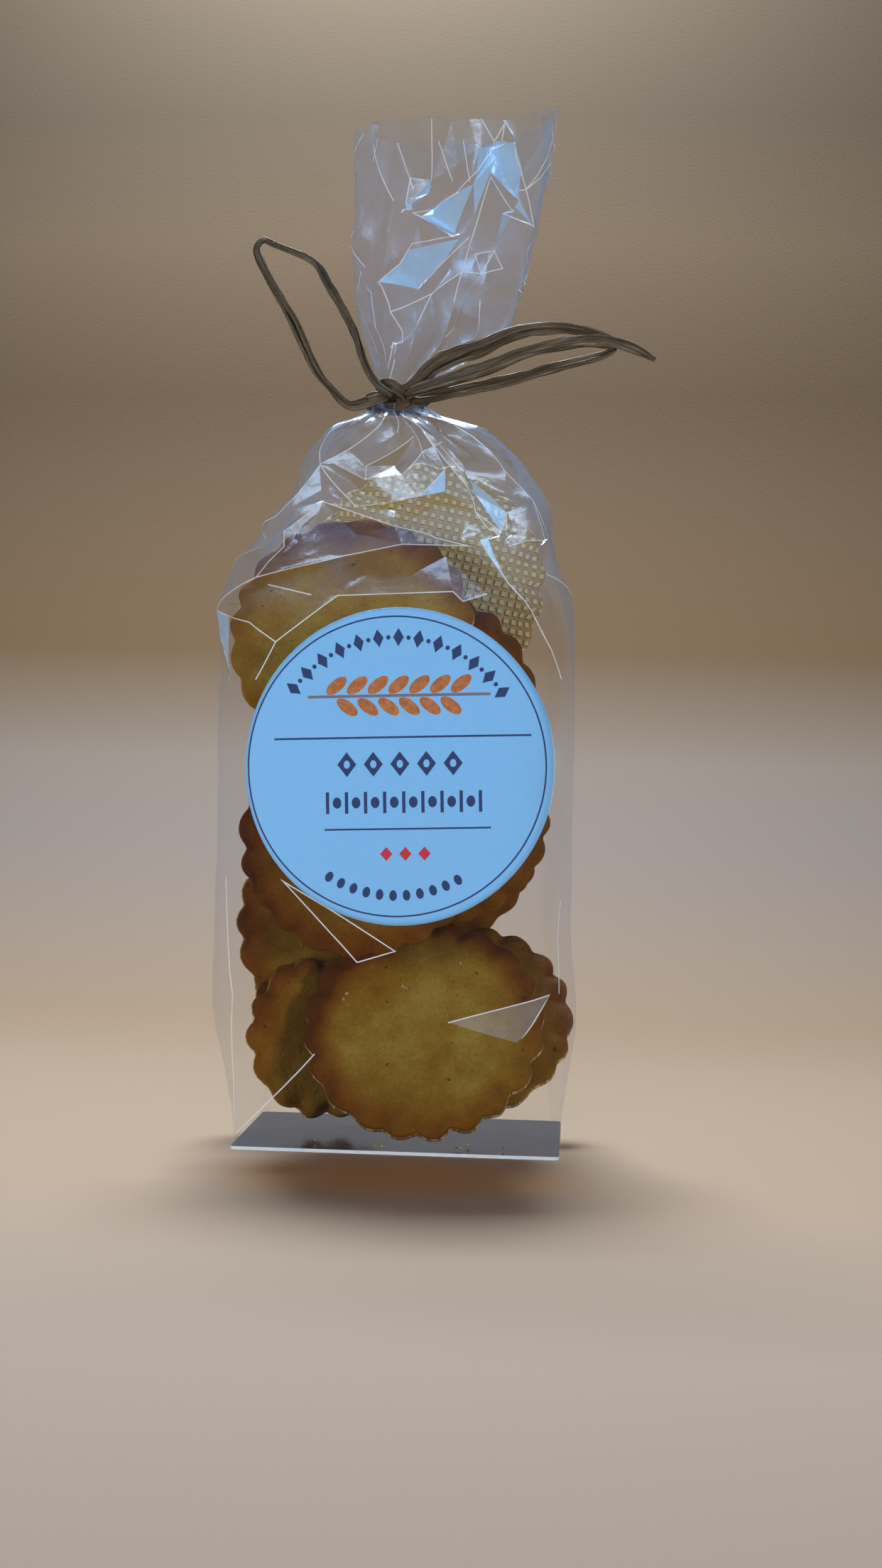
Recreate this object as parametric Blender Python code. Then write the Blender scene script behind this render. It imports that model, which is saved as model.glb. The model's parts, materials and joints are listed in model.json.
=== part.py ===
# A clear block-bottom bag of biscuits on its base card, tied with a raffia bow, with a round paper
# label on its front. The bag is one solid out to its film. Metres, +Z up, the front towards -Y,
# the origin under the middle of the base card.

import math
from collections import namedtuple

import bmesh
import bpy
from mathutils import Vector

# Driving sizes
BASE_WIDTH = 0.080
BASE_DEPTH = 0.050
CARD_THICKNESS = 0.0008
CARD_CORNER = 0.0012
CLEARANCE = 0.0003
BODY_HALF_WIDTH = 0.045
BODY_HALF_DEPTH = 0.0285
BODY_SHIFT = -0.003
BODY_SQUARENESS = 4.5
BACK_FULLNESS = 0.08
NECK_HEIGHT = 0.187
NECK_HALF_WIDTH = 0.0063
NECK_HALF_DEPTH = 0.0054
NECK_SHIFT = -0.0055
FLARE_TOP = 0.2565
FLAP_RISE = 0.0045
FLAP_START = 0.022
FLAP_END = 0.036
LABEL_RADIUS = 0.0382
LABEL_THICKNESS = 0.0003
LABEL_CENTRE = (-0.001, 0.094)
TIE_HEIGHT = 0.0036
TIE_THICKNESS = 0.0010
STRIP_THICKNESS = 0.0009

BAG_SPOKES = 48
LABEL_SPOKES = 48
LABEL_RINGS = 9
TIE_SPOKES = 32

Section = namedtuple("Section", "height shift half_width half_depth squareness pleat gusset")


def start_empty():
    """Remove whatever the scene holds."""
    for old in list(bpy.data.objects):
        bpy.data.objects.remove(old, do_unlink=True)


def make_material(name, colour, roughness, metallic=0.0, alpha=1.0):
    """A Principled material with the part's own colour."""
    material = bpy.data.materials.new(name)
    material.use_nodes = True
    shader = material.node_tree.nodes["Principled BSDF"]
    shader.inputs["Base Color"].default_value = (*colour, 1.0)
    shader.inputs["Roughness"].default_value = roughness
    shader.inputs["Metallic"].default_value = metallic
    shader.inputs["Alpha"].default_value = alpha
    return material


def finish_object(bm, name, material, sharp_angle=40.0):
    """Turn a closed bmesh into a smooth-shaded object."""
    bmesh.ops.recalc_face_normals(bm, faces=bm.faces)
    mesh = bpy.data.meshes.new(name)
    bm.to_mesh(mesh)
    bm.free()
    mesh.materials.append(material)
    mesh.shade_smooth()
    mesh.set_sharp_from_angle(angle=math.radians(sharp_angle))
    node = bpy.data.objects.new(name, mesh)
    bpy.context.scene.collection.objects.link(node)
    return node


def extrude_rings(bm, spokes, levels, place):
    """Extrude a ring of vertices level by level and cap both ends; place(spoke, level) is a point."""
    spoke_layer = bm.verts.layers.int.new("spoke")
    ring = bmesh.ops.create_circle(bm, segments=spokes, radius=1.0)["verts"]
    for number, vert in enumerate(ring):
        vert[spoke_layer] = number
    edges = list(bm.edges)
    first_edges = list(edges)
    for level in range(levels):
        if level:
            made = bmesh.ops.extrude_edge_only(bm, edges=edges)["geom"]
            ring = [item for item in made if isinstance(item, bmesh.types.BMVert)]
            new_verts = set(ring)
            edges = [item for item in made if isinstance(item, bmesh.types.BMEdge)
                     and new_verts.issuperset(item.verts)]
        for vert in ring:
            vert.co = place(vert[spoke_layer], level)
    for rim in (first_edges, edges):
        cap = bmesh.ops.contextual_create(bm, geom=rim)["faces"]
        bmesh.ops.poke(bm, faces=cap)


def squared_radius(angle, squareness):
    """Radius of a unit superellipse: 2 is a circle, larger is squarer."""
    total = abs(math.cos(angle)) ** squareness + abs(math.sin(angle)) ** squareness
    return total ** (-1.0 / squareness)


def smooth_step(value, low, high):
    """0 below low, 1 above high, and a smooth rise between them."""
    part = min(max((value - low) / (high - low), 0.0), 1.0)
    return part * part * (3.0 - 2.0 * part)


def bag_sections():
    """The bag from its bottom to its mouth; pleat and gusset are depths as a share of the radius."""
    foot = CARD_THICKNESS + CLEARANCE
    half_base = BASE_WIDTH / 2.0
    half_base_depth = BASE_DEPTH / 2.0
    return [
        Section(foot, 0.0, half_base, half_base_depth, 22.0, 0.0, 0.0),
        Section(0.006, -0.0002, half_base + 0.0006, half_base_depth + 0.0002, 14.0, 0.0, 0.0),
        Section(0.018, -0.0010, 0.0428, 0.0263, 8.0, 0.0, 0.0),
        Section(0.030, -0.0017, 0.0460, 0.0278, 5.5, 0.0, 0.0),
        Section(0.042, -0.0025, 0.0457, 0.0285, 4.8, 0.0, 0.0),
        Section(0.054, BODY_SHIFT, BODY_HALF_WIDTH, BODY_HALF_DEPTH, BODY_SQUARENESS, 0.0, 0.0),
        Section(0.078, BODY_SHIFT, BODY_HALF_WIDTH, BODY_HALF_DEPTH, BODY_SQUARENESS, 0.0, 0.0),
        Section(0.106, BODY_SHIFT, BODY_HALF_WIDTH, BODY_HALF_DEPTH, BODY_SQUARENESS, 0.0, 0.0),
        Section(0.1335, BODY_SHIFT, BODY_HALF_WIDTH, BODY_HALF_DEPTH, BODY_SQUARENESS, 0.0, 0.03),
        Section(0.146, -0.0030, 0.0410, 0.0250, 4.5, 0.01, 0.07),
        Section(0.160, 0.0002, 0.0346, 0.0200, 4.0, 0.02, 0.10),
        Section(0.1725, -0.0008, 0.0288, 0.0145, 3.4, 0.04, 0.10),
        Section(0.1806, -0.0024, 0.0208, 0.0094, 2.8, 0.06, 0.04),
        Section(NECK_HEIGHT - 0.0030, NECK_SHIFT, NECK_HALF_WIDTH, NECK_HALF_DEPTH, 2.0, 0.0, 0.0),
        Section(NECK_HEIGHT + 0.0030, NECK_SHIFT, NECK_HALF_WIDTH, NECK_HALF_DEPTH, 2.0, 0.0, 0.0),
        Section(0.195, -0.0025, 0.0100, 0.0062, 2.2, 0.08, 0.0),
        Section(0.204, 0.0040, 0.0202, 0.0072, 2.4, 0.10, 0.0),
        Section(0.214, 0.0044, 0.0232, 0.0084, 2.4, 0.11, 0.0),
        Section(0.230, 0.0064, 0.0248, 0.0096, 2.4, 0.11, 0.0),
        Section(0.245, 0.0083, 0.0260, 0.0102, 2.4, 0.11, 0.0),
        Section(FLARE_TOP, 0.0092, 0.0265, 0.0106, 2.4, 0.11, 0.0),
    ]


def build_bag():
    """The filled body, the gathered shoulders, the pinched neck and the flared mouth as one solid."""
    sections = bag_sections()
    pleat_count = 7
    gusset_reach = 0.30

    def place(spoke, level):
        section = sections[level]
        angle = math.tau * spoke / BAG_SPOKES
        radius = squared_radius(angle, section.squareness)
        radius *= 1.0 - section.pleat * (0.5 + 0.5 * math.cos(pleat_count * angle))
        radius *= 1.0 - section.gusset * math.exp(-(math.sin(angle) / gusset_reach) ** 2)
        x = section.shift + section.half_width * radius * math.cos(angle)
        y = section.half_depth * radius * math.sin(angle)
        z = section.height
        if y > 0.0:
            full = smooth_step(z, 0.0, 0.030) * (1.0 - smooth_step(z, 0.110, 0.170))
            y *= 1.0 + BACK_FULLNESS * full
        if level == len(sections) - 1:
            z += FLAP_RISE * smooth_step(x, FLAP_START, FLAP_END)
        return Vector((x, y, z))

    bm = bmesh.new()
    extrude_rings(bm, BAG_SPOKES, len(sections), place)
    film = make_material("clear_film", (0.86, 0.86, 0.84), 0.08, alpha=0.35)
    return finish_object(bm, "bag", film, sharp_angle=60.0)


def build_base_card():
    """The stiff rectangle of card that keeps the bottom of the bag flat."""
    bm = bmesh.new()
    bmesh.ops.create_cube(bm, size=1.0)
    bmesh.ops.scale(bm, verts=bm.verts, vec=(BASE_WIDTH, BASE_DEPTH, CARD_THICKNESS))
    bmesh.ops.translate(bm, verts=bm.verts, vec=(0.0, 0.0, CARD_THICKNESS / 2.0))
    uprights = [edge for edge in bm.edges
                if abs(edge.verts[0].co.z - edge.verts[1].co.z) > CARD_THICKNESS / 2.0]
    bmesh.ops.bevel(bm, geom=uprights, offset=CARD_CORNER, offset_type="OFFSET", segments=3,
                    profile=0.5, affect="EDGES", material=-1)
    card = make_material("metallised_card", (0.72, 0.72, 0.70), 0.25, metallic=0.6)
    return finish_object(bm, "base_card", card)


def front_of_body(x):
    """How far the straight part of the body's front stands from the middle plane at x."""
    share = abs(x - BODY_SHIFT) / BODY_HALF_WIDTH
    return BODY_HALF_DEPTH * (1.0 - share ** BODY_SQUARENESS) ** (1.0 / BODY_SQUARENESS)


def build_label():
    """The round paper label, bent round the body's front and just clear of it."""
    centre_x, centre_z = LABEL_CENTRE
    stand_off = 0.0005
    bm = bmesh.new()
    bmesh.ops.create_circle(bm, segments=LABEL_SPOKES, radius=LABEL_RADIUS, cap_ends=True)
    bmesh.ops.poke(bm, faces=bm.faces)
    spokes = [edge for edge in bm.edges if not edge.is_boundary]
    bmesh.ops.subdivide_edges(bm, edges=spokes, cuts=LABEL_RINGS - 1)
    sheet = list(bm.faces)
    made = bmesh.ops.extrude_face_region(bm, geom=sheet)["geom"]
    outer = {item for item in made if isinstance(item, bmesh.types.BMVert)}
    for vert in bm.verts:
        x = centre_x + vert.co.x
        z = centre_z + vert.co.y
        lift = stand_off + (LABEL_THICKNESS if vert in outer else 0.0)
        vert.co = Vector((x, -front_of_body(x) - lift, z))
    paper = make_material("label_paper", (0.80, 0.84, 0.90), 0.55)
    return finish_object(bm, "label", paper)


def strip_frame(points, index):
    """Direction of travel at one point of a route."""
    before = points[max(index - 1, 0)]
    after = points[min(index + 1, len(points) - 1)]
    return (after - before).normalized()


def build_strip(name, route, widths, material):
    """A flat raffia strip along a route, as wide as widths say at each point, closed at its ends."""
    points = [Vector(point) for point in route]
    corners = ((-0.5, -0.5), (0.5, -0.5), (0.5, 0.5), (-0.5, 0.5))
    facing = Vector((0.0, -1.0, 0.0))

    def place(spoke, level):
        along = strip_frame(points, level)
        across = along.cross(facing).normalized()
        side, rise = corners[spoke]
        point = points[level] + across * side * widths[level]
        return point + facing * rise * STRIP_THICKNESS

    bm = bmesh.new()
    extrude_rings(bm, len(corners), len(points), place)
    return finish_object(bm, name, material, sharp_angle=30.0)


def build_knot(material):
    """The turn of raffia round the neck with the knot in front of it, joined into one solid."""
    inner_x = NECK_HALF_WIDTH + CLEARANCE
    inner_y = NECK_HALF_DEPTH + CLEARANCE
    profile = ((0.0, -0.5), (1.0, -0.5), (1.0, 0.5), (0.0, 0.5))
    bm = bmesh.new()
    for out, up in profile:
        bm.verts.new((inner_x + out * TIE_THICKNESS, 0.0, NECK_HEIGHT + up * TIE_HEIGHT))
    bmesh.ops.contextual_create(bm, geom=list(bm.verts))
    bmesh.ops.delete(bm, geom=list(bm.faces), context="FACES_ONLY")
    bmesh.ops.spin(bm, geom=list(bm.verts) + list(bm.edges), cent=(0.0, 0.0, 0.0), axis=(0.0, 0.0, 1.0),
                   angle=math.tau, steps=TIE_SPOKES, use_merge=True)
    bmesh.ops.remove_doubles(bm, verts=bm.verts, dist=1e-6)
    bmesh.ops.scale(bm, verts=bm.verts, vec=(1.0, inner_y / inner_x, 1.0))
    bmesh.ops.translate(bm, verts=bm.verts, vec=(NECK_SHIFT, 0.0, 0.0))
    knot = finish_object(bm, "raffia_knot", material)

    lump_size = (0.0036, 0.0018, 0.0026)
    lump_place = (NECK_SHIFT + 0.0018, -inner_y - TIE_THICKNESS - 0.0009, NECK_HEIGHT + 0.0002)
    bm = bmesh.new()
    bmesh.ops.create_icosphere(bm, subdivisions=2, radius=1.0)
    bmesh.ops.scale(bm, verts=bm.verts, vec=lump_size)
    bmesh.ops.translate(bm, verts=bm.verts, vec=lump_place)
    lump = finish_object(bm, "knot_lump", material)

    union = knot.modifiers.new("join_lump", "BOOLEAN")
    union.operation = "UNION"
    union.object = lump
    bpy.context.view_layer.update()
    shaped = bpy.data.meshes.new_from_object(knot.evaluated_get(bpy.context.evaluated_depsgraph_get()))
    knot.modifiers.clear()
    knot.data = shaped
    knot.data.name = "raffia_knot"
    bpy.data.objects.remove(lump, do_unlink=True)
    return knot


def build_bow(material):
    """The loops and the tail that leave the knot, each a strip of its own just clear of the knot."""
    left_loop = [
        (-0.0085, -0.0086, 0.1866), (-0.0120, -0.0088, 0.1853), (-0.0167, -0.0088, 0.1845),
        (-0.0212, -0.0088, 0.1888), (-0.0253, -0.0088, 0.1939), (-0.0312, -0.0088, 0.2057),
        (-0.0362, -0.0088, 0.2140), (-0.0398, -0.0086, 0.2205), (-0.0410, -0.0080, 0.2240),
        (-0.0394, -0.0074, 0.2264), (-0.0362, -0.0072, 0.2252), (-0.0266, -0.0074, 0.2210),
        (-0.0225, -0.0078, 0.2150), (-0.0157, -0.0088, 0.2032), (-0.0128, -0.0098, 0.1950),
        (-0.0098, -0.0104, 0.1900), (-0.0074, -0.0106, 0.1882),
    ]
    left_widths = [0.0018, 0.0020, 0.0016, 0.0018, 0.0022, 0.0019, 0.0018, 0.0017, 0.0016,
                   0.0016, 0.0015, 0.0016, 0.0020, 0.0021, 0.0018, 0.0016, 0.0015]
    right_loop = [
        (0.0002, -0.0112, 0.1890), (0.0050, -0.0116, 0.1938), (0.0110, -0.0118, 0.1966),
        (0.0169, -0.0120, 0.1985), (0.0259, -0.0120, 0.2023), (0.0365, -0.0118, 0.2032),
        (0.0440, -0.0114, 0.2020), (0.0486, -0.0108, 0.2000), (0.0482, -0.0100, 0.1982),
        (0.0440, -0.0098, 0.1966), (0.0332, -0.0098, 0.1937), (0.0245, -0.0098, 0.1912),
        (0.0156, -0.0098, 0.1891), (0.0080, -0.0096, 0.1876), (0.0028, -0.0090, 0.1868),
    ]
    right_widths = [0.0018, 0.0024, 0.0027, 0.0027, 0.0021, 0.0015, 0.0014, 0.0014, 0.0014,
                    0.0015, 0.0017, 0.0018, 0.0019, 0.0018, 0.0016]
    tail = [
        (0.0010, -0.0132, 0.1880), (0.0075, -0.0136, 0.1900), (0.0181, -0.0140, 0.1932),
        (0.0265, -0.0138, 0.1965), (0.0345, -0.0136, 0.1989), (0.0420, -0.0132, 0.2001),
        (0.0493, -0.0128, 0.1998), (0.0550, -0.0124, 0.1980), (0.0595, -0.0120, 0.1957),
    ]
    tail_widths = [0.0018, 0.0022, 0.0023, 0.0020, 0.0018, 0.0019, 0.0022, 0.0019, 0.0013]
    build_strip("raffia_left_loop", left_loop, left_widths, material)
    build_strip("raffia_right_loop", right_loop, right_widths, material)
    build_strip("raffia_tail", tail, tail_widths, material)


start_empty()
build_base_card()
build_bag()
build_label()
raffia = make_material("raffia", (0.17, 0.13, 0.10), 0.75)
build_knot(raffia)
build_bow(raffia)
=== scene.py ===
import json
import math
import random

import bmesh
import bpy
from mathutils import Matrix, Vector, geometry, noise
from mathutils.bvhtree import BVHTree

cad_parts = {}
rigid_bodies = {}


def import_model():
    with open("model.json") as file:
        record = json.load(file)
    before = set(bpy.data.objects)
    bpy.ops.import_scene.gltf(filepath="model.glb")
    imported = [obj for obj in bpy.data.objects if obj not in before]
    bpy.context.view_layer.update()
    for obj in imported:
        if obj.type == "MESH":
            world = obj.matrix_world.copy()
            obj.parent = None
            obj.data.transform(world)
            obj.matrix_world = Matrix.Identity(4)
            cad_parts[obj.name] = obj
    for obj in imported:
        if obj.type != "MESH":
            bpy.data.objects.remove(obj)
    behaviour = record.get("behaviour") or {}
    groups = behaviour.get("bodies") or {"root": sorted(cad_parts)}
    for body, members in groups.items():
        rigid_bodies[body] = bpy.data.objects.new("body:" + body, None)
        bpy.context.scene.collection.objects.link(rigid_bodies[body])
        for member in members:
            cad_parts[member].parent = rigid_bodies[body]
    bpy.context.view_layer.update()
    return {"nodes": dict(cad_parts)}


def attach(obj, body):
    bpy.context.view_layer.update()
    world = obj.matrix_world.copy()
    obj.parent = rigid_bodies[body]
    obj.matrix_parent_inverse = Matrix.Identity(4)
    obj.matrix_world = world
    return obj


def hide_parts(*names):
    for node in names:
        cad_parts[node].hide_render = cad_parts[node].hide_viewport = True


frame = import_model()

# Camera
# A telephone held level a forearm away, a little to the right of the bag's front and very slightly
# turned, which is why the foot of the bag slopes down to the right.
MM = 0.001
photo_height = 2208
focal_pixels = 2700.0
camera_distance = 489 * MM
camera_height = 90 * MM
camera_bearing = math.radians(4.0)
camera_shift = 7.9 * MM
camera_roll = math.radians(1.2)

scene = bpy.context.scene
sideways = Vector((math.cos(camera_bearing), math.sin(camera_bearing), 0.0))
towards_camera = Vector((math.sin(camera_bearing), -math.cos(camera_bearing), 0.0))
camera_data = bpy.data.cameras.new("camera")
camera_data.sensor_width = 36.0
camera_data.lens = camera_data.sensor_width * focal_pixels / photo_height
camera_data.clip_start = 0.01
camera = bpy.data.objects.new("camera", camera_data)
scene.collection.objects.link(camera)
camera.location = towards_camera * camera_distance + sideways * camera_shift + Vector((0, 0, camera_height))
level_view = Matrix.Rotation(camera_bearing, 4, "Z") @ Matrix.Rotation(math.radians(90), 4, "X")
camera.rotation_euler = (level_view @ Matrix.Rotation(camera_roll, 4, "Z")).to_euler()
scene.camera = camera
scene.view_settings.view_transform = "Standard"


# Floor
# A sheet of warm beige paper laid flat and swept up behind the bag. Its colour carries painted shading,
# darker and browner the higher it rises, and a painted warm shadow under the bag's front. It is clear from
# behind, so that the bag shows from there too.
class Value:
    """One output of a node, so that shader maths reads as Python."""

    def __init__(self, finish, socket):
        self.finish = finish
        self.socket = socket

    def math(self, operation, *others):
        sockets = dict(enumerate((self, *others)))
        return self.finish.node("Math", {"operation": operation}, sockets)

    def __add__(self, other):
        return self.math("ADD", other)

    def __sub__(self, other):
        return self.math("SUBTRACT", other)

    def __mul__(self, other):
        return self.math("MULTIPLY", other)

    def __truediv__(self, other):
        return self.math("DIVIDE", other)

    def __pow__(self, other):
        return self.math("POWER", other)

    def __lt__(self, other):
        return self.math("LESS_THAN", other)

    def __radd__(self, other):
        return self + other

    def __rsub__(self, other):
        return self * -1.0 + other


class Finish:
    """A material in the making, with one way to add any node."""

    def __init__(self, name):
        self.material = bpy.data.materials.new(name)
        self.material.use_nodes = True
        self.tree = self.material.node_tree
        self.tree.nodes.clear()

    def node(self, kind, settings, sockets, output=0):
        made = self.tree.nodes.new("ShaderNode" + kind)
        for name, setting in settings.items():
            if name == "stops":
                set_stops(made.color_ramp, setting)
            else:
                setattr(made, name, setting)
        for key, value in sockets.items():
            if isinstance(value, Value):
                self.tree.links.new(value.socket, made.inputs[key])
            else:
                made.inputs[key].default_value = value
        return Value(self, made.outputs[output]) if made.outputs else made

    def place(self):
        return self.node("TexCoord", {}, {}, "Object")

    def axis(self, vector, number):
        """One of a vector's three parts: 0 for x, 1 for y, 2 for z."""
        return self.node("SeparateXYZ", {}, {0: vector}, number)

    def attribute(self, name, output="Fac"):
        return self.node("Attribute", {"attribute_name": name}, {}, output)

    def noise(self, vector, scale, detail=3.0, roughness=0.5):
        sockets = {"Vector": vector, "Scale": scale, "Detail": detail, "Roughness": roughness}
        return self.node("TexNoise", {}, sockets, "Fac")

    def ramp(self, value, stops):
        return self.node("ValToRGB", {"stops": stops}, {0: value}, "Color")

    def step(self, value, low, high):
        sockets = {"Value": value, "From Min": low, "From Max": high}
        return self.node("MapRange", {"interpolation_type": "SMOOTHSTEP"}, sockets)

    def mix(self, share, first, second, blend="MIX"):
        sockets = {0: share, 6: first, 7: second}
        return self.node("Mix", {"data_type": "RGBA", "blend_type": blend}, sockets, 2)

    def bump(self, height, distance, strength=1.0):
        sockets = {"Strength": strength, "Distance": distance, "Height": height}
        return self.node("Bump", {}, sockets)

    def principled(self, sockets):
        shader = self.node("BsdfPrincipled", {}, sockets)
        return self.wear(shader)

    def wear(self, shader):
        self.node("OutputMaterial", {}, {"Surface": shader})
        return self.material


def set_stops(ramp, stops):
    """Give a colour ramp its stops, each a position and a linear colour."""
    while len(ramp.elements) < len(stops):
        ramp.elements.new(0.5)
    for element, (position, colour) in zip(ramp.elements, stops):
        element.position = position
        element.color = (*colour, 1.0)


def srgb(red, green, blue):
    """A colour given as 0 to 255 screen values, as linear values."""
    return tuple(((part / 255.0 + 0.055) / 1.055) ** 2.4 for part in (red, green, blue))


def rgba(red, green, blue):
    """The same colour for a node's socket."""
    return (*srgb(red, green, blue), 1.0)


def make_piece(bm, name, material, smooth=True):
    """Turn a bmesh into an object at the origin that wears a material."""
    mesh = bpy.data.meshes.new(name)
    bm.to_mesh(mesh)
    bm.free()
    mesh.materials.append(material)
    if smooth:
        mesh.shade_smooth()
    piece = bpy.data.objects.new(name, mesh)
    scene.collection.objects.link(piece)
    return piece


sweep_half_width = 1.4
sweep_front = -1.3
sweep_bend = 0.13
sweep_radius = 0.27
sweep_top = 1.5
bend_steps = 24
tone_start = 0.2
foot_shade_place = (0.004, -0.052, 0.0)
foot_shade_stretch = (0.75, 1.2, 1.0)
foot_shade_core = 0.008
foot_shade_reach = 0.040
foot_shade_strength = 0.8
foot_shade_colour = (0.56, 0.26, 0.04, 1.0)

bm = bmesh.new()
bmesh.ops.create_grid(bm, x_segments=1, y_segments=1, size=1.0)
for vert in bm.verts:
    vert.co = Vector((vert.co.x * sweep_half_width, sweep_front if vert.co.y < 0 else sweep_bend, 0.0))
back_edge = [edge for edge in bm.edges if all(vert.co.y > 0 for vert in edge.verts)]
bent = bmesh.ops.spin(bm, geom=back_edge, cent=(0, sweep_bend, sweep_radius), axis=(1, 0, 0),
                      angle=math.radians(90), steps=bend_steps)["geom_last"]
rising = [item for item in bent if isinstance(item, bmesh.types.BMEdge)]
wall = bmesh.ops.extrude_edge_only(bm, edges=rising)["geom"]
for item in wall:
    if isinstance(item, bmesh.types.BMVert):
        item.co.z = sweep_top
bmesh.ops.recalc_face_normals(bm, faces=bm.faces)

paper = Finish("sweep_paper")
paper_y = paper.axis(paper.place(), 1)
paper_z = paper.axis(paper.place(), 2)
# Painted shading: the paper darkens and browns up the sweep, with a greyer band at the bend, where the light
# falls off.
paper_colour_and_shade = paper.ramp(paper_y + paper_z + tone_start, [
    (0.0, srgb(186, 172, 160)), (0.12, srgb(184, 165, 145)), (0.40, srgb(154, 134, 111)),
    (0.57, srgb(143, 133, 127)), (0.64, srgb(143, 133, 123)), (0.72, srgb(120, 97, 67)),
    (0.94, srgb(136, 118, 96)), (1.0, srgb(112, 99, 82))])
# A painted warm shadow on the paper in front of the bag's foot, darkest at its middle and fading outwards.
foot_away = paper.node("VectorMath", {"operation": "SUBTRACT"}, {0: paper.place(), 1: foot_shade_place})
foot_away = paper.node("VectorMath", {"operation": "MULTIPLY"}, {0: foot_away, 1: foot_shade_stretch})
foot_distance = paper.node("VectorMath", {"operation": "LENGTH"}, {0: foot_away}, "Value")
foot_shade = (1.0 - paper.step(foot_distance, foot_shade_core, foot_shade_reach)) * foot_shade_strength
paper_colour_and_shade = paper.mix(foot_shade, paper_colour_and_shade, foot_shade_colour)
paper_grain = paper.noise(paper.place(), 900.0, 2.0)
paper_face = paper.node("BsdfPrincipled", {}, {
    "Base Color": paper_colour_and_shade, "Roughness": 0.85, "Normal": paper.bump(paper_grain, 0.0002, 0.3)})
paper_back = paper.node("BsdfTransparent", {}, {})
# The sweep's faces point backwards, so the camera sees their backs.
seen_from_front = paper.node("NewGeometry", {}, {}, "Backfacing")
sweep = make_piece(bm, "sweep", paper.wear(paper.node(
    "MixShader", {}, {0: seen_from_front, 1: paper_back, 2: paper_face})))
sweep.visible_glossy = False


# Lights
# A soft box above and behind the bag, whose shadow falls forwards, a warm one that lights only the sweep,
# and a cool one to each side of the front that lights all but the sweep and isn't mirrored. Two strips
# above the front and the tent round it all show only where they are mirrored.
def add_light(name, place, target, size, power, colour):
    """A rectangular soft box at a place, turned to a target."""
    data = bpy.data.lights.new(name, "AREA")
    data.shape = "RECTANGLE"
    data.size = size[0]
    data.size_y = size[1]
    data.energy = power
    data.color = colour
    light = bpy.data.objects.new(name, data)
    scene.collection.objects.link(light)
    light.location = place
    light.rotation_euler = (Vector(target) - Vector(place)).to_track_quat("-Z", "Y").to_euler()
    return light


middle_of_bag = (0.0, 0.0, 0.11)
plain_white = (0.90, 0.95, 1.0)
cool_white = (0.84, 0.92, 1.0)
warm_white = (1.0, 0.66, 0.40)
in_front_of_bag = (0.0, -0.05, 0.0)
strip_size = (0.34, 0.10)
strip_power = 0.6
add_light("key_above", (-0.06, 0.30, 0.70), middle_of_bag, (0.24, 0.16), 7.2, plain_white)
sweep_fill = add_light("sweep_fill", (0.0, -0.55, 0.80), in_front_of_bag, (0.50, 0.40), 1.3, warm_white)
only_sweep = bpy.data.collections.new("only_sweep")
only_sweep.objects.link(sweep)
sweep_fill.light_linking.receiver_collection = only_sweep
front_left = add_light("front_left", (-0.85, -0.80, 0.26), middle_of_bag, (0.40, 0.40), 7.6, cool_white)
front_right = add_light("front_right", (0.90, -0.75, 0.24), middle_of_bag, (0.30, 0.40), 6.6, cool_white)
all_but_sweep = bpy.data.collections.new("all_but_sweep")
all_but_sweep.objects.link(sweep)
all_but_sweep.collection_objects[0].light_linking.link_state = "EXCLUDE"
for front_box in (front_left, front_right):
    front_box.light_linking.receiver_collection = all_but_sweep
    front_box.visible_glossy = False
for name, strip_place in (("strip_left", (-0.24, -0.42, 0.76)), ("strip_right", (0.30, -0.36, 0.72))):
    strip = add_light(name, strip_place, middle_of_bag, strip_size, strip_power, cool_white)
    strip.visible_diffuse = False

world = bpy.data.worlds.new("tent")
scene.world = world
world.use_nodes = True
world.cycles_visibility.diffuse = False
world_nodes = world.node_tree.nodes
world_links = world.node_tree.links
up_share = world_nodes.new("ShaderNodeSeparateXYZ")
half_up = world_nodes.new("ShaderNodeMath")
half_up.operation = "MULTIPLY_ADD"
half_up.inputs[1].default_value = 0.5
half_up.inputs[2].default_value = 0.5
tent_ramp = world_nodes.new("ShaderNodeValToRGB")
world_links.new(world_nodes.new("ShaderNodeTexCoord").outputs["Generated"], up_share.inputs[0])
world_links.new(up_share.outputs["Z"], half_up.inputs[0])
world_links.new(half_up.outputs[0], tent_ramp.inputs["Fac"])
world_links.new(tent_ramp.outputs["Color"], world_nodes["Background"].inputs["Color"])
set_stops(tent_ramp.color_ramp, [
    (0.30, (0.36, 0.28, 0.21)), (0.50, (0.26, 0.25, 0.26)), (0.66, (0.24, 0.27, 0.34)),
    (0.86, (0.40, 0.56, 0.78))])


# Base card
# The stiff rectangle in the bottom of the bag: grey board faced with silver foil on its upper side,
# cut so that its white core shows along the edges.
card = Finish("silver_card")
card_face = card.node("NewGeometry", {}, {}, "Normal")
card_up = card.axis(card_face, 2)
foil = card.step(card_up, 0.6, 0.8)
foil_wear = card.noise(card.place(), 160.0, 4.0)
foil_colour = card.mix(foil_wear, rgba(104, 92, 80), rgba(150, 138, 126))
foil_dents = card.noise(card.place(), 120.0, 3.0)
core_speckle = card.noise(card.place(), 700.0)
core_colour = card.mix(core_speckle, rgba(214, 222, 230), rgba(240, 244, 248))
frame["nodes"]["base_card"].data.materials.clear()
frame["nodes"]["base_card"].data.materials.append(card.principled({
    "Base Color": card.mix(foil, core_colour, foil_colour),
    "Metallic": foil * 0.95,
    "Roughness": 0.55 - foil * (0.42 - foil_wear * 0.10),
    "Normal": card.bump(foil_dents, 0.0002, 0.4)}))


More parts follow.
